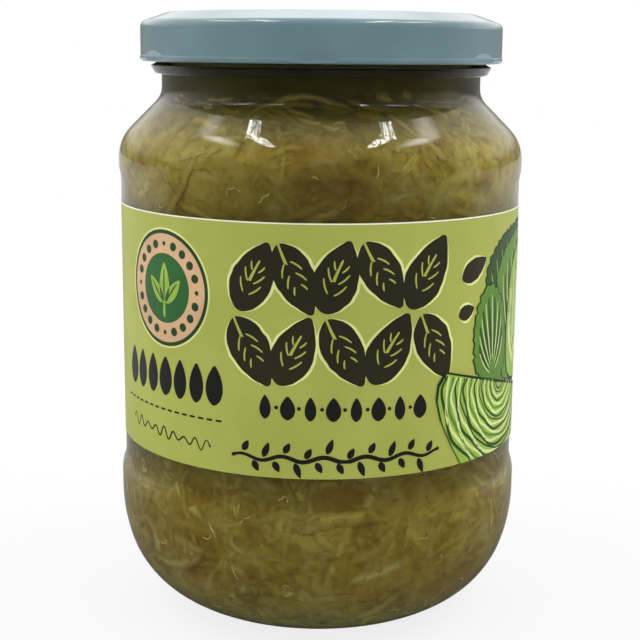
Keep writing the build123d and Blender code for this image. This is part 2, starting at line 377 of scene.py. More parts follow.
core, cut = cabbage["coreDepth"] * mm, cabbage["level"] * mm
points = [(0, wallLine[0][1] + core)]
for i in range(3, len(wallLine)):
    r, z, nr, nz = wallAt(runLength[i])
    if z + nz * core < cut:
        points.append((r + nr * core, z + nz * core))
rimRadius = points[-1][0]
points += [(rimRadius * k / cabbage["capRings"], cut) for k in range(cabbage["capRings"], -1, -1)]
coreBm = latheLine(points, cabbage["coreSteps"])
coreBm.normal_update()
for vert in coreBm.verts:
    lump = noise.noise(vert.co * 1000 / cabbage["lumpPitch"] + Vector((3, 1, 7)))
    strand = 1 - 2 * abs(noise.noise(vert.co * 1000 / cabbage["strandPitch"]))
    vert.co += vert.normal * (lump * 0.5 + strand * 0.5) * cabbage["coreRelief"] * mm
cabbageCore = toObject("cabbageCore", coreBm, [pressedCabbage])


def stripTemplate(segments, taper, thinEdge):  # a unit strip along X, narrower and thinner to its ends
    bm = bmesh.new()
    bmesh.ops.create_cube(bm, size=1.0)
    along = [e for e in bm.edges if abs(e.verts[0].co.x - e.verts[1].co.x) > 0.5]
    bmesh.ops.subdivide_edges(bm, edges=along, cuts=segments - 1, use_grid_fill=True)
    across = [e for e in bm.edges if abs(e.verts[0].co.y - e.verts[1].co.y) > 0.5]
    bmesh.ops.subdivide_edges(bm, edges=across, cuts=1, use_grid_fill=True)
    for vert in bm.verts:
        edge = abs(vert.co.y) * 2
        end = max(0.0, abs(vert.co.x) * 2 - 0.6) / 0.4
        vert.co.z *= (1 - thinEdge * edge) * (1 - 0.6 * end)
        vert.co.y *= 1 - taper * end * end
    mesh = bpy.data.meshes.new("template")
    bm.to_mesh(mesh)
    bm.free()
    return mesh


lay = {  # how strips lie: mm off the glass, steps each way from their middle, and waves per step
    "clear": 0.04, "steps": 8, "waverWave": 1.3, "tipWave": 0.4, "liftWave": 0.7, "widthWave": 1.1,
    "widthSwing": 0.2, "rimFade": 0.15,
}


def trailOnWall(spot, length, curl, waver):  # a strip's line on the wall: azimuth, run and heading
    azimuth, run, heading = spot[:3]
    steps, halves = lay["steps"], []
    for direction in (-1, 1):
        a, m, h = azimuth, run, heading
        trail = [(a, m, h)]
        for k in range(steps):
            step = length / steps / 2 * direction
            a += math.cos(h) * step / max(wallAt(m)[0], 0.004)
            m += math.sin(h) * step
            h += curl * step + waver * math.sin(k * lay["waverWave"] + azimuth * 5) * 0.3 * direction
            trail.append((a, m, h))
        halves.append(trail)
    return halves[0][:0:-1] + halves[1]


def layStrip(bm, layers, template, rimmed, spot, size, bend):
    azimuth, run, depth = spot[0], spot[1], spot[3]
    length, width, thickness = size
    curl, waver, roll, tone, strength = bend
    first = len(bm.verts)
    bm.from_mesh(template)
    bm.verts.ensure_lookup_table()
    spots = []
    for a, m, h in trailOnWall(spot, length, curl, waver):
        r, z, nr, nz = wallAt(min(max(m, 0.5 * mm), topRun))
        inward = Vector((nr * math.cos(a), nr * math.sin(a), nz))
        sideways = Vector((-math.sin(a), math.cos(a), 0))
        along = sideways * math.cos(h) + sideways.cross(inward) * math.sin(h)
        spots.append((Vector((r * math.cos(a), r * math.sin(a), z)), inward, inward.cross(along)))
    last = len(spots) - 1
    for vert in bm.verts[first:]:
        share = min(max(vert.co.x + 0.5, 0), 1) * last
        k = min(int(share), last - 1)
        foot, inward, side = (a.lerp(b, share - k) for a, b in zip(spots[k], spots[k + 1]))
        tip = roll * math.sin(share * lay["tipWave"] + azimuth * 4)
        wave = math.sin(share * lay["liftWave"] + azimuth * 9 + run * 700)
        lift = lay["clear"] * mm + thickness / 2 + depth * (0.5 + 0.5 * wave)
        lift += abs(math.sin(tip)) * width / 2
        swing = lay["widthSwing"] * math.sin(share * lay["widthWave"] + azimuth * 7)
        y = vert.co.y * width * (1 - lay["widthSwing"] + swing)
        z = vert.co.z * thickness
        edge = abs(vert.co.y) * 2
        fade = 1 - (abs(vert.co.x) * 2) ** 4
        vert[layers[0]] = tone
        rim = lay["rimFade"] + (1 - lay["rimFade"]) * edge ** 2
        vert[layers[1]] = strength * (rim if rimmed else (1 - edge) * fade)
        vert.co = foot + side.normalized() * (y * math.cos(tip) - z * math.sin(tip))
        vert.co += inward.normalized() * (y * math.sin(tip) + z * math.cos(tip) + lift)


def stripField(name, template, material, count, pick, rimmed=False):
    bm = bmesh.new()
    layers = [bm.verts.layers.float.new("tone"), bm.verts.layers.float.new("share")]
    for i in range(count):
        layStrip(bm, layers, template, rimmed, *pick())
    return toObject(name, bm, [material])


# sizes in mm, curl in radians a metre, waver and roll in radians
shred = {
    "count": 1500, "length": (7, 26), "width": (1.8, 4.6), "thickness": (0.08, 0.2), "depth": (0.05, 0.3),
    "faint": (0.05, 0.35), "clear": (0.35, 0.6), "faintShare": 0.85,
    "curl": (-40, 40), "waver": (0.2, 1.2), "roll": (-0.1, 0.1),
}
leafCut = {
    "count": 100, "length": (2.4, 5.5), "width": (1.6, 3.4), "thickness": 0.25, "depth": 0.05,
    "tone": (0, 0.6), "strength": (0.2, 0.6), "curl": (-60, 60), "waver": 0.4, "roll": (-0.06, 0.06),
}
thread = {
    "count": 170, "length": (1.8, 6), "width": (0.3, 0.5), "thickness": 0.3, "depth": 0.02,
    "tone": (0.2, 1.0), "strength": 2.5, "curl": (100, 600), "waver": 2.5,
}
chance = random.Random(7)


def within(span):
    return chance.uniform(*span)


def anySpot(depth):  # half of the strips lie about level, the others at any slant
    heading = chance.gauss(0, 0.5) if chance.random() < 0.5 else chance.uniform(-1.57, 1.57)
    azimuth, run = chance.uniform(0, math.tau), topRun * chance.uniform(0.12, 1.0)
    room = min(1.0, (topRun - run) / cabbage["levelled"] / mm)  # near the top they lie level
    return azimuth, run, heading * room, depth


def pickShred():
    spot = anySpot(within(shred["depth"]) * mm)
    size = [within(shred[key]) * mm for key in ("length", "width", "thickness")]
    tone = min(max(chance.gauss(0.5, 0.24), 0), 1)
    strength = within(shred["faint"]) if chance.random() < shred["faintShare"] else within(shred["clear"])
    return spot, size, (within(shred["curl"]), within(shred["waver"]), within(shred["roll"]), tone, strength)


def pickLeafCut():
    size = (within(leafCut["length"]) * mm, within(leafCut["width"]) * mm, leafCut["thickness"] * mm)
    curl, roll = within(leafCut["curl"]), within(leafCut["roll"])
    bend = (curl, leafCut["waver"], roll, within(leafCut["tone"]), within(leafCut["strength"]))
    return anySpot(leafCut["depth"] * mm), size, bend


def pickThread():
    size = (within(thread["length"]) * mm, within(thread["width"]) * mm, thread["thickness"] * mm)
    curl = chance.choice((-1, 1)) * within(thread["curl"])
    spot = anySpot(thread["depth"] * mm)
    return spot, size, (curl, thread["waver"], 0.0, within(thread["tone"]), thread["strength"])


stripMesh = stripTemplate(8, 0.5, 0.85)
leafMesh = stripTemplate(4, 0.3, 0.5)
fields = []
for i in range(3):
    fields.append(stripField(f"shreds{i + 1}", stripMesh, cabbageShred, shred["count"] // 3, pickShred))
fields.append(stripField("leafCuts", leafMesh, cabbageRib, leafCut["count"], pickLeafCut, True))
fields.append(stripField("threads", stripMesh, cabbageRib, thread["count"], pickThread))

bubble = {
    "count": 420, "least": 0.12, "more": 0.4, "clear": 0.03,  # mm
    "rarer": 2.5, "off": 0.8,  # how rare large ones are, and radii off the glass
}
# air in brine: each bubble shows a dark ring and one bright point
trappedAir, tree = newMaterial("trappedAir")
body = addNode(tree, "ShaderNodeBsdfPrincipled", {
    "Base Color": fromHex("#FFFFFF"), "Roughness": 0.05, "IOR": 1 / brine["ior"],
    "Transmission Weight": 1.0})
finishMaterial(tree, clearForLamps(tree, body.outputs[0], fromHex("#FFFFFF")))
bubbleBm = bmesh.new()
for i in range(bubble["count"]):
    azimuth, run = anySpot(0)[:2]
    radius = (bubble["least"] + bubble["more"] * chance.random() ** bubble["rarer"]) * mm
    r, z, nr, nz = wallAt(run)
    off = radius * bubble["off"] + bubble["clear"] * mm
    spot = Vector(((r + nr * off) * math.cos(azimuth), (r + nr * off) * math.sin(azimuth), z + nz * off))
    bmesh.ops.create_uvsphere(
        bubbleBm, u_segments=8, v_segments=5, radius=radius, matrix=Matrix.Translation(spot))
fields.append(toObject("bubbles", bubbleBm, [trappedAir]))
place(cabbageCore, "fermented_cabbage", "sauerkraut")
for piece in fields:
    place(piece, "brine" if piece.name == "bubbles" else "fermented_cabbage")
print("cabbage built", sum(len(piece.data.polygons) for piece in fields), "faces of small pieces")

# Lid
lid = {
    "low": "#637F86", "high": "#6A868D", "roughness": 0.3, "coatRoughness": 0.04,
    "cloudPitch": 14.3, "peelPitch": 1.4, "peelDepth": 0.004,  # mm
}
# roller-coated gloss lacquer on tinplate: a smooth blue grey with a sharp sheen
lacqueredTinplate, tree = newMaterial("lacqueredTinplate")
coords = addNode(tree, "ShaderNodeTexCoord").outputs["Object"]
cloud = addNode(tree, "ShaderNodeTexNoise", {
    "Vector": coords, "Scale": 1000 / lid["cloudPitch"], "Detail": 3.0})
peel = addNode(tree, "ShaderNodeTexNoise", {
    "Vector": coords, "Scale": 1000 / lid["peelPitch"], "Detail": 1.0})
bump = addNode(tree, "ShaderNodeBump", {
    "Height": peel.outputs["Fac"], "Strength": 1.0, "Distance": lid["peelDepth"] * mm})
body = addNode(tree, "ShaderNodeBsdfPrincipled", {
    "Base Color": ramp(tree, cloud.outputs["Fac"], [(0.35, lid["low"]), (0.65, lid["high"])]),
    "Roughness": lid["roughness"], "IOR": 1.5, "Coat Weight": 1.0, "Coat Roughness": lid["coatRoughness"],
    "Normal": bump.outputs["Normal"], "Coat Normal": bump.outputs["Normal"]})
finishMaterial(tree, body.outputs[0])
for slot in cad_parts["lid"].material_slots:
    slot.material = lacqueredTinplate
print("lid finished")

# Label: a paper sheet in the jar's recessed band, and each ink laid on it as a thin layer
label = {
    "thickness": 0.1, "gap": 11.0, "inkStep": 0.02, "cut": 1.6, "bareEdge": 0.32, "margin": 0.05,  # mm
    "fibrePitch": 16.0, "columns": 190, "rows": 4,
    "paperLow": "#A0A645", "paperHigh": "#A9AF4F", "roughness": 0.42, "inkLow": 0.92, "inkHigh": 1.08,
    "ink": "#2E2A12", "inkBlack": "#1C1D18", "halo": "#D6DC8C", "edge": "#F1F2E4",
    "badgeRing": "#26481F", "badgeBand": "#CDA77E", "badgeDisc": "#28632A",
    "leafLine": "#16351A", "leafDeep": "#2A5014", "leaf": "#588620", "leafLight": "#8DAE40",
    "leafPale": "#C8D688",
}
panelRadius = labelHigh.x / mm - label["thickness"]
labelTall = (labelHigh.z - labelLow.z) / mm
labelRound = math.tau * (panelRadius + label["thickness"]) - label["gap"]


def printedPaper(name, low, high):  # coated wet-glue paper: semi-gloss, with a soft fibre mottle
    material, tree = newMaterial(name)
    coords = addNode(tree, "ShaderNodeTexCoord").outputs["Object"]
    mottle = addNode(tree, "ShaderNodeTexNoise", {
        "Vector": coords, "Scale": 1000 / label["fibrePitch"], "Detail": 3.0})
    colour = ramp(tree, mottle.outputs["Fac"], [(0.3, low), (0.7, high)])
    body = addNode(tree, "ShaderNodeBsdfPrincipled", {
        "Base Color": colour, "Roughness": label["roughness"], "IOR": 1.5, "Specular IOR Level": 0.4})
    finishMaterial(tree, body.outputs[0])
    return material


def printInk(name):  # flexographic ink, a little uneven over the paper
    code = label[name]
    channels = [int(code[i:i + 2], 16) for i in (1, 3, 5)]
    shades = []
    for factor in (label["inkLow"], label["inkHigh"]):
        shades.append("#%02X%02X%02X" % tuple(min(255, round(c * factor)) for c in channels))
    return printedPaper(name + "Ink", *shades)


def wrapRound(bm, lift):  # flat millimetres (across, up from the lower edge, thickness) to the jar's panel
    for vert in bm.verts:
        angle = vert.co.x / (panelRadius + label["thickness"])
        r = (panelRadius + lift + vert.co.z) * mm
        vert.co = Vector((r * math.sin(angle), -r * math.cos(angle), labelLow.z + vert.co.y * mm))


def trim(bm, at, outwards, keepBoth=False):  # cuts a flat sheet on a line and clears what lies outwards of it
    geom = bm.verts[:] + bm.edges[:] + bm.faces[:]
    bmesh.ops.bisect_plane(
        bm, geom=geom, dist=1e-5, plane_co=at, plane_no=outwards, clear_outer=not keepBoth)


def thicken(bm, height):
    for face in bm.faces:
        if face.normal.z < 0:
            face.normal_flip()
    grown = bmesh.ops.extrude_face_region(bm, geom=bm.faces[:], use_keep_orig=True)
    top = [item for item in grown["geom"] if isinstance(item, bmesh.types.BMVert)]
    bmesh.ops.translate(bm, verts=top, vec=(0, 0, height))
    bmesh.ops.recalc_face_normals(bm, faces=bm.faces)


def printLayer(name, level, ink, smooth=(), straight=()):  # one ink's outlines, filled and wrapped round
    curve = bpy.data.curves.new(name, "CURVE")
    curve.dimensions = "2D"
    curve.fill_mode = "BOTH"
    curve.resolution_u = 5
    for outline in straight:
        spline = curve.splines.new("POLY")
        spline.points.add(len(outline) - 1)
        for point, (x, y) in zip(spline.points, outline):
            point.co = (x, y, 0, 1)
        spline.use_cyclic_u = True
    for outline in smooth:
        spline = curve.splines.new("BEZIER")
        spline.bezier_points.add(len(outline) - 1)
        for point, (x, y) in zip(spline.bezier_points, outline):
            point.co = (x, y, 0)
            point.handle_left_type = point.handle_right_type = "AUTO"
        spline.use_cyclic_u = True
    flat = bpy.data.objects.new(name + "Flat", curve)
    scene.collection.objects.link(flat)
    bpy.context.view_layer.update()
    mesh = bpy.data.meshes.new_from_object(flat.evaluated_get(bpy.context.evaluated_depsgraph_get()))
    bpy.data.objects.remove(flat)
    bm = bmesh.new()
    bm.from_mesh(mesh)
    start, end = (f(vert.co.x for vert in bm.verts) for f in (min, max))
    for i in range(math.ceil(start / label["cut"]), math.ceil(end / label["cut"])):
        trim(bm, (i * label["cut"], 0, 0), (1, 0, 0), keepBoth=True)
    trim(bm, (0, labelTall - label["margin"], 0), (0, 1, 0))
    trim(bm, (0, label["margin"], 0), (0, -1, 0))
    bmesh.ops.remove_doubles(bm, verts=bm.verts, dist=1e-4)
    thicken(bm, label["inkStep"])
    wrapRound(bm, label["thickness"] + level * label["inkStep"])
    place(toObject(name, bm, [ink]), "label_paper")


def disc(x, y, radius, count=24):
    turns = [math.tau * i / count for i in range(count)]
    return [(x + radius * math.cos(t), y + radius * math.sin(t)) for t in turns]


def bar(x, y, width, height, corner):
    outline = []
    for cx, cy, start in ((1, 1, 0), (-1, 1, 90), (-1, -1, 180), (1, -1, 270)):
        for step in (0, 45, 90):
            angle = math.radians(start + step)
            outline.append((
                x + cx * (width / 2 - corner) + corner * math.cos(angle),
                y + cy * (height / 2 - corner) + corner * math.sin(angle)))
    return outline


def ribbon(points, wide, ends=0.15):  # the outline of a stroke along some points, thinner at its ends
    left, right = [], []
    for i, (x, y) in enumerate(points):
        ax, ay = points[max(i - 1, 0)]
        bx, by = points[min(i + 1, len(points) - 1)]
        run = math.hypot(bx - ax, by - ay)
        swell = max(0.0, math.sin(math.pi * i / (len(points) - 1))) ** 0.6
        w = wide / 2 * (ends + (1 - ends) * swell)
        left.append((x - (by - ay) / run * w, y + (bx - ax) / run * w))
        right.append((x + (by - ay) / run * w, y - (bx - ax) / run * w))
    return left + right[::-1]


def bowed(start, end, bow, count=7):  # points from start to end on a line that bows sideways
    (ax, ay), (bx, by) = start, end
    points = []
    for i in range(count):
        t = i / (count - 1)
        swell = 4 * t * (1 - t) * bow
        points.append((ax + (bx - ax) * t - (by - ay) * swell, ay + (by - ay) * t + (bx - ax) * swell))
    return points


def leafShape(base, tip, width, frill=0.0, seed=0):
    draw = random.Random(seed)
    (ax, ay), (bx, by) = base, tip
    run, count = math.hypot(bx - ax, by - ay), 13
    left, right = [], []
    for i in range(count):
        t = i / (count - 1)
        swell = max(0.0, math.sin(math.pi * t ** 0.8)) ** 0.7 * width / 2
        for edge, sign in ((left, 1), (right, -1)):
            w = swell * (1 + frill * draw.uniform(-1, 1)) if 0 < i < count - 1 else 0.05
            edge.append((
                ax + (bx - ax) * t - sign * (by - ay) / run * w,
                ay + (by - ay) * t + sign * (bx - ax) / run * w))
    return left + right[-2:0:-1]


def smoothLine(points, steps, closed):  # a smooth line through some points
    line, count = [], len(points)
    for i in range(count if closed else count - 1):
        picks = [(i + k) % count if closed else min(max(i + k, 0), count - 1) for k in (-1, 0, 1, 2)]
        p0, p1, p2, p3 = (Vector(points[k]) for k in picks)
        for s in range(steps):
            t = s / steps
            bend = (2 * p0 - 5 * p1 + 4 * p2 - p3) * t * t + (3 * p1 - p0 - 3 * p2 + p3) * t ** 3
            line.append((2 * p1 + (p2 - p0) * t + bend) / 2)
    return line if closed else line + [Vector(points[-1])]


def frilled(points, depth, pitch, grow=0.0, seed=0):  # a leaf's edge: scallops of some depth and pitch
    line, draw, run, outline = smoothLine(points, 8, True), random.Random(seed), 0.0, []
    for i, here in enumerate(line):
        ahead, behind = line[(i + 1) % len(line)], line[i - 1]
        run += (here - line[i - 1]).length
        outwards = Vector((ahead.y - behind.y, behind.x - ahead.x)).normalized()
        wave = abs(math.sin(math.pi * run / pitch)) + draw.uniform(-0.3, 0.3)
        outline.append(tuple(here + outwards * (depth * wave + grow)))
    return outline


labelPaper = printedPaper("labelPaper", label["paperLow"], label["paperHigh"])
sheetBm = bmesh.new()
bmesh.ops.create_grid(sheetBm, x_segments=label["columns"], y_segments=label["rows"], size=0.5)
bmesh.ops.scale(sheetBm, vec=(labelRound, labelTall, 1), verts=sheetBm.verts)
bmesh.ops.translate(sheetBm, vec=(0, labelTall / 2, 0), verts=sheetBm.verts)
thicken(sheetBm, label["thickness"])
wrapRound(sheetBm, 0)
place(toObject("labelSheet", sheetBm, [labelPaper]), "label_paper", "label")
inks = {name: printInk(name) for name in (
    "ink", "inkBlack", "halo", "edge", "badgeRing", "badgeBand", "badgeDisc",
    "leafLine", "leafDeep", "leaf", "leafLight", "leafPale")}

# Two rows of bold leaves, each with bare veins that open at its foot
leaves = [  # foot across, foot up, tip across, tip up, width
    (-17.4, 36.2, -10.8, 50.8, 9.2), (-8.6, 50.6, -1.4, 35.8, 8.6), (1.0, 36.2, 6.4, 51.4, 9.6),
    (9.4, 51.0, 17.8, 37.0, 8.6), (19.8, 36.6, 28.4, 51.8, 9.4), (-18.4, 34.6, -10.6, 20.2, 9.0),
    (-8.6, 20.6, -1.8, 35.2, 9.0), (1.6, 34.8, 9.4, 20.4, 8.8), (11.4, 20.8, 19.6, 35.6, 9.2),
    (22.8, 35.0, 30.0, 20.6, 9.0),
]
spare = [(33.8, 41.6, 42.0, 45.6, 4.8), (33.0, 33.6, 38.0, 35.0, 3.4)]
for name, level, grow in (("titleHalo", 0, 1.3), ("titleLeaves", 1, 0.0)):
    shapes = [leafShape(l[:2], l[2:4], l[4] + grow, 0.03, i) for i, l in enumerate(leaves + spare)]
    for part in (0, 1):  # neighbours are printed apart, because two shapes that cross would leave a hole
        printLayer(name + str(part + 1), level, inks["ink" if level else "halo"], shapes[part::2])
rib = {  # the middle vein and its side veins: mm wide, and shares of the leaf
    "wide": 0.7, "beyondFoot": 0.3, "reach": 0.74, "bow": 0.03,
    "sideWide": 0.4, "sideAt": (0.26, 0.42, 0.58), "sideOff": 0.7,
    "sideReach": 0.27, "sideRise": 1.1, "sideBow": 0.06,
}
slits = []
for i, (ax, ay, bx, by, width) in enumerate(leaves):
    run = math.hypot(bx - ax, by - ay)
    dx, dy = (bx - ax) / run, (by - ay) / run
    start = (ax - dx * rib["beyondFoot"], ay - dy * rib["beyondFoot"])
    end = (ax + dx * run * rib["reach"], ay + dy * run * rib["reach"])
    slits.append(ribbon(bowed(start, end, rib["bow"] * (-1) ** i), rib["wide"], 0.25))
    for t in rib["sideAt"]:
        x0, y0 = ax + dx * run * t, ay + dy * run * t
        for side in (-1, 1):
            reach = width * rib["sideReach"] * math.sin(math.pi * (0.2 + t))
            rise = reach * rib["sideRise"]
            start = (x0 - side * dy * rib["sideOff"], y0 + side * dx * rib["sideOff"])
            end = (x0 + dx * rise - side * dy * reach, y0 + dy * rise + side * dx * reach)
            slits.append(ribbon(bowed(start, end, rib["sideBow"] * side, 5), rib["sideWide"], 0.3))
printLayer("titleVeins", 2, labelPaper, slits)

# Under them a row of seeds, and a vine with small leaves
seeds = {"count": 8, "from": -11.4, "pitch": 4.9, "foot": 12.8, "tip": 18.0, "middle": 15.4, "sink": 0.02}
marks = []
for i in range(seeds["count"]):
    x = seeds["from"] + seeds["pitch"] * i
    sink = seeds["sink"] * x
    marks.append(leafShape((x, seeds["foot"] - sink), (x, seeds["tip"] - sink), 3.3 if i % 2 else 2.5))
    if i < seeds["count"] - 1:
        marks.append(disc(x + seeds["pitch"] / 2, seeds["middle"] - sink, 0.42, 10))
stem = {"from": -19.0, "step": 1.15, "up": 4.3, "swing": 0.55, "wave": 0.8}
vine = []
for i in range(42):
    vine.append((stem["from"] + stem["step"] * i, stem["up"] + stem["swing"] * math.sin(i * stem["wave"])))
marks.append(ribbon(vine, 1.0, 0.5))
for i in range(2, 40, 2):
    (x, y), side = vine[i], 1 if i % 4 else -1
    reach = 3.0 if i % 3 else 4.0
    marks.append(leafShape((x + 0.3, y + side * 0.75), (x + 1.5, y + side * reach), 1.5))

# At the left a row of petals, a dashed line and a loose wave
petals = {"count": 7, "from": -52.3, "pitch": 4.8, "lean": 0.3, "foot": 14.6, "tip": 23.4}
for i in range(petals["count"]):
    x = petals["from"] + petals["pitch"] * i
    marks.append(leafShape((x, petals["foot"]), (x + petals["lean"], petals["tip"]), 3.9 if i % 3 else 4.4))
wave = []
for i in range(68):
    swell = 1.3 * math.sin(i * 0.8) * (0.7 + 0.3 * math.sin(i * 0.23))
    wave.append((-52.6 + 0.42 * i, 6.6 + swell - 0.02 * i))
marks.append(ribbon(wave, 0.4, 0.5))
dash = {"count": 15, "from": -55.2, "pitch": 2.35, "up": 11.3}
dashes = [bar(dash["from"] + dash["pitch"] * i, dash["up"], 1.5, 0.45, 0.15) for i in range(dash["count"])]
printLayer("smallMarks", 0, inks["inkBlack"], marks, dashes)

# A round badge with a sprig of leaves
badge = {"x": -37.6, "y": 38.8, "beadRing": 9.85, "beads": 20}
centreX, centreY = badge["x"], badge["y"]
rounds = [  # name, ink, radius, points
    ("badgeHalo", "halo", 13.3, 32), ("badgeRing", "badgeRing", 12.85, 32),
    ("badgeBand", "badgeBand", 12.0, 32), ("badgeDisc", "badgeDisc", 7.7, 28),
]
for level, (name, ink, radius, count) in enumerate(rounds):
    printLayer(name, level, inks[ink], [disc(centreX, centreY, radius, count)])
beads = []
for i in range(badge["beads"]):
    angle = math.tau * i / badge["beads"]
    x, y = centreX + badge["beadRing"] * math.cos(angle), centreY + badge["beadRing"] * math.sin(angle)
    beads.append(disc(x, y, 0.95 if i % 5 else 0.5, 10))
printLayer("badgeBeads", 3, inks["badgeRing"], beads)


def fromBadge(x, y):
    return centreX + x, centreY + y


sprig = [leafShape(fromBadge(0, -3.5), fromBadge(0, 5.6), 3.4)]
sprig.append(ribbon(bowed(fromBadge(0, -6.4), fromBadge(0, -3.4), 0.05), 0.8, 0.6))
veins = [ribbon(bowed(fromBadge(0, -2.8), fromBadge(0, 4.4), 0.02), 0.4)]
for side in (-1, 1):
    sprig.append(leafShape(fromBadge(side * 0.5, -3.2), fromBadge(side * 5.0, 2.2), 2.8))
    veins.append(ribbon(bowed(fromBadge(side * 0.9, -2.6), fromBadge(side * 4.2, 1.4), 0.03), 0.35))
printLayer("badgeSprig", 4, inks["leafLight"], sprig)
printLayer("badgeVeins", 5, inks["badgeRing"], veins)

# A whole cabbage: frilled outer leaves round a pale head
cabbageLeaves = [  # name, ink, level, outline
    ("back", "leafDeep", 0, [
        (58, 16), (72, 14), (90, 24), (94, 38), (88, 47), (76, 51.6), (64, 51.4), (54, 50.2), (46.8, 46.8),
        (43.2, 42.2), (43.6, 36), (46, 26)]),
    ("middle", "leaf", 2, [
        (60, 16), (84, 18), (88, 32), (82, 45), (66, 49.4), (56, 47.8), (49.8, 43.6), (47.6, 37), (48.4, 27),
        (52, 18)]),
    ("front", "leaf", 4, [
        (46, 15.5), (51.2, 18.5), (52.6, 26), (50.8, 33), (47.4, 37.4), (43.6, 38.6), (40.6, 35.8),
        (39.2, 31), (39.0, 26), (40.2, 20.5)]),
    ("head", "leafLight", 6, [
        (57, 16.5), (66, 14.5), (76, 17), (81.5, 28), (80, 40), (73, 46.0), (64, 46.0), (57.0, 41),
        (54.4, 31), (54.6, 22)]),
]
for i, (name, ink, level, outline) in enumerate(cabbageLeaves):
    frill = 0.25 if name == "head" else 0.8
    printLayer(name + "LeafLine", level, inks["leafLine"], (), [frilled(outline, frill, 2.4, 0.4, i)])
    printLayer(name + "Leaf", level + 1, inks[ink], (), [frilled(outline, frill, 2.4, 0.0, i)])


def fan(foot, tips, wide, bow, start=0.12):  # veins that part from one foot, kept clear of each other
    strokes = []
    for i, (x, y) in enumerate(tips):
        near = (foot[0] + (x - foot[0]) * start, foot[1] + (y - foot[1]) * start)
        strokes.append(ribbon(bowed(near, (x, y), bow * (1 - 2 * i / max(len(tips) - 1, 1))), wide, 0.2))
    return strokes


rimLeft = [
    (44.6, 41.6), (46.8, 44.6), (49.6, 46.6), (52.8, 48.2), (56.4, 49.4), (60.4, 50.2), (65, 50.6),
    (70, 50.6)]
printLayer("backVeins", 2, inks["leafLight"], fan((57, 20), rimLeft, 0.5, 0.06, 0.3))
rimMiddle = [
    (50.6, 40.6), (53.4, 43.4), (57, 45.4), (61, 46.8), (66, 47.6), (72, 47.2), (78, 44.6), (83, 40)]
printLayer("middleVeins", 4, inks["leafPale"], fan((57, 20), rimMiddle, 0.45, 0.05, 0.3))
beside = [(x + 1.4, y + 0.2) for x, y in rimMiddle]
printLayer("middleShade", 4, inks["leafDeep"], fan((57.6, 20), beside, 0.8, 0.05, 0.3))
frontTips = [
    (40.6, 24.2), (40.3, 28.2), (40.9, 32.0), (42.3, 35.4), (45.0, 37.0), (47.9, 35.0), (49.9, 31.4),
    (51.0, 26.6)]
printLayer("frontVeins", 6, inks["leafPale"], fan((46.4, 17.4), frontTips, 0.4, 0.08, 0.25))
shade = [(40.2, 26.2), (40.4, 30.2), (41.4, 33.8), (43.5, 36.6), (46.4, 36.2), (49.0, 33.2), (50.6, 29.0)]
printLayer("frontShade", 6, inks["leafDeep"], fan((46.4, 17.4), shade, 1.0, 0.08, 0.3))
headTips = [(56.0, 31), (57.4, 36.6), (60, 41), (64, 43.6), (68.6, 44.4), (73, 42.6), (76.6, 38), (78.6, 31)]
printLayer("headPale", 8, inks["leafPale"], fan((64, 15.4), headTips, 1.9, 0.16, 0.18))
beside = [(x + 1.7, y + 1.6) for x, y in headTips]
printLayer("headShade", 8, inks["leaf"], fan((64, 15.4), beside, 0.9, 0.16, 0.28))

# A cut wedge: leaves folded one inside the next, round a point on its upper edge
wedgeEdge = [
    (29.4, 21.8), (27.3, 19.2), (26.9, 15.8), (28.2, 11.1), (31.4, 5.0), (35.4, -1), (82, -3), (86, 4),
    (84.5, 8.2), (62, 13.5), (45, 17.8)]
inset = [(x + (0.5 if x < 40 else -0.5), y - 0.55) for x, y in wedgeEdge]
printLayer("wedgeLine", 9, inks["leafLine"], (), [wedgeEdge])
printLayer("wedgeFace", 10, inks["leafLight"], (), [inset])
focus = Vector((50, 16.4))
bowl = [
    (29.0, 20.9), (27.6, 16.6), (28.6, 11.2), (31.6, 5.2), (36.5, 0), (43, -4.5), (52, -6), (61, -5),
    (70, -1), (77, 4), (83, 8.0)]
folding = {
    "count": 22, "first": 0.955, "step": 0.0415, "wobble": 0.018, "rough": 0.006,
    "lowest": -1.5, "gap": 6,  # mm: where a fold is cut off, and the break that this leaves in it
}
folds = {"leafDeep": [], "leafPale": [], "leaf": [], "leafLine": []}
order = ("leafDeep", "leafPale", "leaf", "leafPale", "leafDeep", "leafPale", "leafLine")
draw = random.Random(11)
for i in range(folding["count"]):
    scale = folding["first"] - folding["step"] * i
    points = []
    for k, spot in enumerate(smoothLine(bowl, 3, False)):
        wobble = 1 + folding["wobble"] * math.sin(k * 0.9 + i * 1.7)
        wobble += draw.uniform(-folding["rough"], folding["rough"])
        points.append(tuple(focus + (spot - focus) * scale * wobble))
    points = [p for p in points if p[1] > folding["lowest"]]
    width = (0.45 if order[i % 7] == "leafLine" else 0.85) * (0.45 + 0.55 * scale)
    breaks = [n for n in range(1, len(points)) if math.dist(points[n], points[n - 1]) > folding["gap"]]
    gap = breaks[0] if breaks else None
    for piece in ([points] if gap is None else [points[:gap], points[gap:]]):
        if len(piece) > 3:
            folds[order[i % 7]].append(ribbon(piece, width, 0.5))
for name, outlines in folds.items():
    printLayer("wedge" + name[0].upper() + name[1:], 11, inks[name], outlines)

# The bare die-cut edge of the paper
low, high, half = labelTall - label["bareEdge"], labelTall, labelRound / 2
printLayer("topEdge", 0, inks["edge"], (), [[(-half, low), (half, low), (half, high), (-half, high)]])
print("label printed")

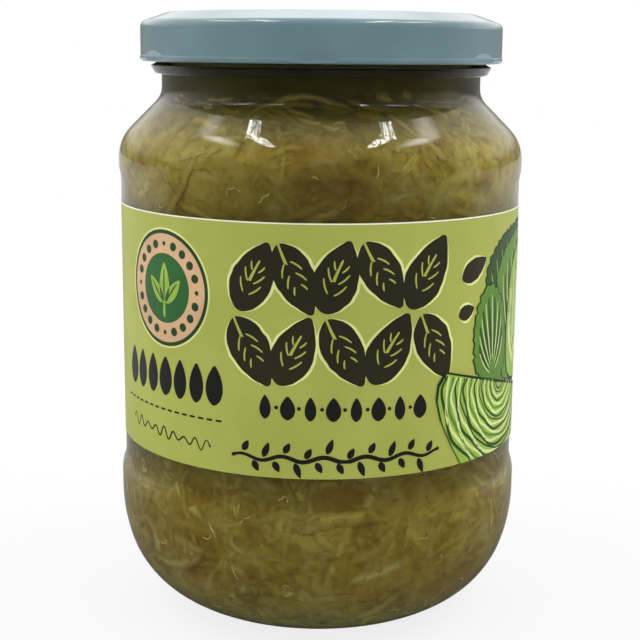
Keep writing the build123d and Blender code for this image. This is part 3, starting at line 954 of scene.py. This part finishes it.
# Studio: a pale floor, light from two soft sides, a front that gloss sees dark, and five panels overhead
studio = {
    "floor": "#D2D2D2", "floorSize": 3.0, "floorWhite": 0.82, "whiteFrom": 0.08, "whiteTo": 0.45,
    "glossFloorFront": 0.06, "glossFloorBack": 0.3, "glossFloorSide": 0.5,
    "frontEnds": -0.05, "backBegins": 0.15, "middleEnds": 0.12, "sideBegins": 0.45,
    "back": 0.35, "up": 0.25, "levelLow": 0.05, "levelHigh": 1.0, "diffuseLow": 0.3, "diffuseHigh": 2.0,
    "glossFront": 0.07, "glossBack": 1.1, "glossFrom": -0.5, "glossTo": 0.9,
    "hazeLow": 0.07, "hazeHigh": 0.2, "hazeShare": 0.2,
}
# matt pale card, which gloss sees darker so that the glass keeps its depth
floorCard, tree = newMaterial("floorCard")
path = addNode(tree, "ShaderNodeLightPath")
coords = addNode(tree, "ShaderNodeTexCoord").outputs["Object"]
parts = addNode(tree, "ShaderNodeSeparateXYZ", {0: coords})
sideways = addNode(tree, "ShaderNodeMath", {0: parts.outputs["X"]}, operation="ABSOLUTE")
behind = spread(
    tree, sideways.outputs[0], studio["middleEnds"], studio["sideBegins"],
    studio["glossFloorBack"], studio["glossFloorSide"])
backShare = spread(tree, parts.outputs["Y"], studio["frontEnds"], studio["backBegins"])
shade = addNode(tree, "ShaderNodeMix", {
    0: backShare, 2: studio["glossFloorFront"], 3: behind}, data_type="FLOAT")
colour = addNode(tree, "ShaderNodeMix", {
    0: path.outputs["Is Glossy Ray"], 6: fromHex(studio["floor"]), 7: shade.outputs[0]}, data_type="RGBA")
body = addNode(tree, "ShaderNodeBsdfDiffuse", {"Color": colour.outputs[2]})
glow = addNode(tree, "ShaderNodeEmission", {"Strength": 1.0})
seen = addNode(tree, "ShaderNodeMath", {
    0: path.outputs["Is Camera Ray"], 1: path.outputs["Is Transmission Ray"]}, operation="MAXIMUM")
away = addNode(tree, "ShaderNodeVectorMath", {0: coords}, operation="LENGTH")
share = spread(tree, away.outputs["Value"], studio["whiteFrom"], studio["whiteTo"], studio["floorWhite"], 1.0)
share = addNode(tree, "ShaderNodeMath", {0: seen.outputs[0], 1: share}, operation="MULTIPLY")
mix = addNode(tree, "ShaderNodeMixShader", {0: share.outputs[0], 1: body.outputs[0], 2: glow.outputs[0]})
finishMaterial(tree, mix.outputs[0])
floorBm = bmesh.new()
bmesh.ops.create_grid(floorBm, x_segments=1, y_segments=1, size=studio["floorSize"])
toObject("floor", floorBm, [floorCard], False)

world = bpy.data.worlds.new("studio")
scene.world = world
world.use_nodes = True
tree = world.node_tree
tree.nodes.clear()
direction = addNode(tree, "ShaderNodeTexCoord").outputs["Generated"]
parts = addNode(tree, "ShaderNodeSeparateXYZ", {0: direction})
sideways = addNode(tree, "ShaderNodeMath", {0: parts.outputs["X"]}, operation="ABSOLUTE")
backwards = addNode(tree, "ShaderNodeMath", {0: parts.outputs["Y"], 1: studio["back"]}, operation="MULTIPLY")
aside = addNode(tree, "ShaderNodeMath", {0: sideways.outputs[0], 1: backwards.outputs[0]})
upwards = addNode(tree, "ShaderNodeMath", {0: parts.outputs["Z"], 1: studio["up"]}, operation="MULTIPLY")
aside = addNode(tree, "ShaderNodeMath", {0: aside.outputs[0], 1: upwards.outputs[0]})
forDiffuse = spread(
    tree, aside.outputs[0], studio["levelLow"], studio["levelHigh"],
    studio["diffuseLow"], studio["diffuseHigh"])
forGloss = spread(
    tree, parts.outputs["Y"], studio["glossFrom"], studio["glossTo"],
    studio["glossFront"], studio["glossBack"])
haze = spread(tree, parts.outputs["Z"], studio["hazeLow"], studio["hazeHigh"], studio["hazeShare"], 1.0)
forGloss = addNode(tree, "ShaderNodeMath", {0: forGloss, 1: haze}, operation="MULTIPLY").outputs[0]
path = addNode(tree, "ShaderNodeLightPath")
seen = addNode(tree, "ShaderNodeMath", {
    0: path.outputs["Is Camera Ray"], 1: path.outputs["Is Transmission Ray"]}, operation="MAXIMUM")
level = addNode(tree, "ShaderNodeMix", {
    0: path.outputs["Is Glossy Ray"], 2: forDiffuse, 3: forGloss}, data_type="FLOAT")
strength = addNode(tree, "ShaderNodeMix", {
    0: seen.outputs[0], 2: level.outputs[0], 3: 1.0}, data_type="FLOAT")
sky = addNode(tree, "ShaderNodeBackground", {"Color": (1, 1, 1, 1), "Strength": strength.outputs[0]})
addNode(tree, "ShaderNodeOutputWorld", {"Surface": sky.outputs[0]})

overhead = {
    "foot": 0.115, "height": 0.9,  # metres: the shoulder's height, and the panels' above it
    "clothFrom": 0.5, "clothTo": 0.1,  # shares of a panel's width over which cloth lets it fade out
    "foilCells": (7.0, 10.0, 1.0), "foilFrom": 0.47, "foilTo": 0.55, "foilDark": 0.1, "foilBright": 2.3,
}
# across, along and width are shares of that height; the outer three stand behind cloth, and
# crumpled foil lines the inner two, so that their highlights break up
panels = [  # name, across, along from, along to, width, radiance
    ("innerLeft", -0.41, -0.54, 0.15, 0.10, 10.0), ("innerRight", 0.41, -0.54, 0.15, 0.10, 10.0),
    ("outerLeft", -0.74, -0.43, 0.45, 0.22, 6.5), ("outerRight", 0.70, -0.43, 0.45, 0.22, 6.5),
    ("outerBack", 0.0, 0.62, 1.9, 1.6, 0.8),
]
high = overhead["height"]
for name, across, start, end, width, radiance in panels:
    lampData = bpy.data.lights.new(name, "AREA")
    lampData.shape = "ELLIPSE"
    lampData.size, lampData.size_y = width * high, (end - start) * high
    lampData.energy = radiance * math.pi * lampData.size * lampData.size_y * math.pi / 4
    lampData.use_nodes = True
    tree = lampData.node_tree
    tree.nodes.clear()
    onLamp = addNode(tree, "ShaderNodeNewGeometry").outputs["Parametric"]
    if name.startswith("outer"):
        off = addNode(tree, "ShaderNodeVectorMath", {0: onLamp, 1: (0.5, 0.5, 0)}, operation="DISTANCE")
        level = spread(tree, off.outputs["Value"], overhead["clothFrom"], overhead["clothTo"], 0.0, 1.0)
    else:
        cells = addNode(tree, "ShaderNodeVectorMath", {
            0: onLamp, 1: overhead["foilCells"]}, operation="MULTIPLY")
        foil = addNode(tree, "ShaderNodeTexNoise", {
            "Vector": cells.outputs[0], "Scale": 1.0, "Detail": 1.0})
        level = spread(
            tree, foil.outputs["Fac"], overhead["foilFrom"], overhead["foilTo"],
            overhead["foilDark"], overhead["foilBright"])
    glow = addNode(tree, "ShaderNodeEmission", {"Strength": level})
    addNode(tree, "ShaderNodeOutputLight", {"Surface": glow.outputs[0]})
    lamp = bpy.data.objects.new(name, lampData)
    lamp.location = (across * high, (start + end) / 2 * high, overhead["foot"] + high)
    lamp.rotation_euler = (0, math.atan(across), 0)
    scene.collection.objects.link(lamp)
print("studio lit")
